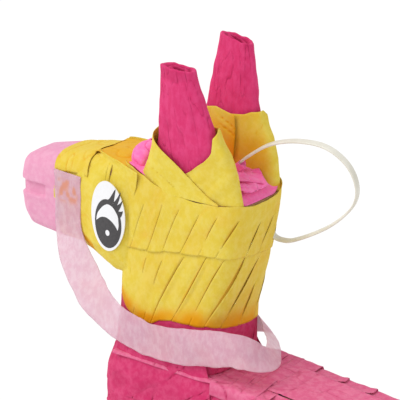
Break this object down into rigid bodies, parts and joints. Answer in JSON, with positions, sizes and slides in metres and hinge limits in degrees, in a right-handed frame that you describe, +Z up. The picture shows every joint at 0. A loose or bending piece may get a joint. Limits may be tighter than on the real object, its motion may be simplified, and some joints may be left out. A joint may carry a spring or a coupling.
{
  "type": "pinata",
  "caption": "Small donkey-shaped pinata: cardboard box body with tissue fringe, yellow head, upright ears, crepe rein, plastic hanging loop and fill flap.",
  "frame": {"origin": "on the surface that it stands on, under the middle of the bounding box of the donkey without its hanging loop", "axes": "+Z up; the donkey faces -X, its left side is -Y"},
  "size_m": [0.221, 0.0522, 0.289],
  "materials": {
    "cardboard": "plain brown card",
    "yellow_paper": "thin crinkled yellow tissue paper",
    "magenta_tissue": "crinkled magenta tissue paper",
    "ear_tissue": "crepe paper with upright wrinkles",
    "hot_pink_tissue": "hot pink tissue strips",
    "pale_pink_paper": "pale pink paper",
    "streamer": "thin translucent pale pink crepe streamer",
    "violet_tissue": "violet tissue fringe",
    "blue_tissue": "blue tissue fringe",
    "strap_plastic": "milky translucent plastic strap",
    "eye_sticker": "glossy printed sticker"
  },
  "bodies": {
    "donkey": {"torso_shell": "cardboard", "neck_tube": "cardboard", "head_shell": "cardboard", "snout_shell": "cardboard", "crown_card": "cardboard", "leg_tube_1": "cardboard", "leg_tube_2": "cardboard", "leg_tube_3": "cardboard", "leg_tube_4": "cardboard", "sole_1": "cardboard", "sole_2": "cardboard", "sole_3": "cardboard", "sole_4": "cardboard", "ear_core_left": "cardboard", "ear_core_right": "cardboard", "tail_core": "cardboard", "ear_tissue_left": "ear_tissue", "ear_tissue_right": "ear_tissue", "ear_wrap_left": "yellow_paper", "ear_wrap_right": "yellow_paper", "head_band_upper": "yellow_paper", "head_band_lower": "yellow_paper", "face_wrap": "yellow_paper", "nose_strip": "yellow_paper", "muzzle_wrap": "pale_pink_paper", "crown_tissue": "hot_pink_tissue", "forelock": "hot_pink_tissue", "body_row_4": "hot_pink_tissue", "neck_wrap": "magenta_tissue", "spine_sheet": "magenta_tissue", "body_row_1": "magenta_tissue", "tail_tassel": "magenta_tissue", "leg_wrap_1": "magenta_tissue", "leg_wrap_2": "magenta_tissue", "leg_wrap_3": "magenta_tissue", "leg_wrap_4": "magenta_tissue", "body_row_2": "violet_tissue", "hoof_cuff_1": "violet_tissue", "hoof_cuff_2": "violet_tissue", "hoof_cuff_3": "violet_tissue", "hoof_cuff_4": "violet_tissue", "body_row_3": "blue_tissue", "rein": "streamer", "eye_left": "eye_sticker", "eye_right": "eye_sticker"},
    "loop": {"hanging_loop": "strap_plastic", "loop_knots": "strap_plastic"},
    "flap": {"fill_flap": "cardboard", "flap_cover": "magenta_tissue"}
  },
  "joints": [
    {"name": "flap_hinge", "type": "hinge", "parent": "donkey", "child": "flap", "pos_m": [0.0452, 0, 0.1389], "axis": [0, -1, 0], "range_deg": [0, 110]},
    {"name": "loop_swing", "type": "hinge", "parent": "donkey", "child": "loop", "pos_m": [0.004, 0.0045, 0.2325], "axis": [0.4591, 0.2492, -0.8527], "range_deg": [-8, 35], "stiffness_Nm_per_rad": 0.003}
  ]
}
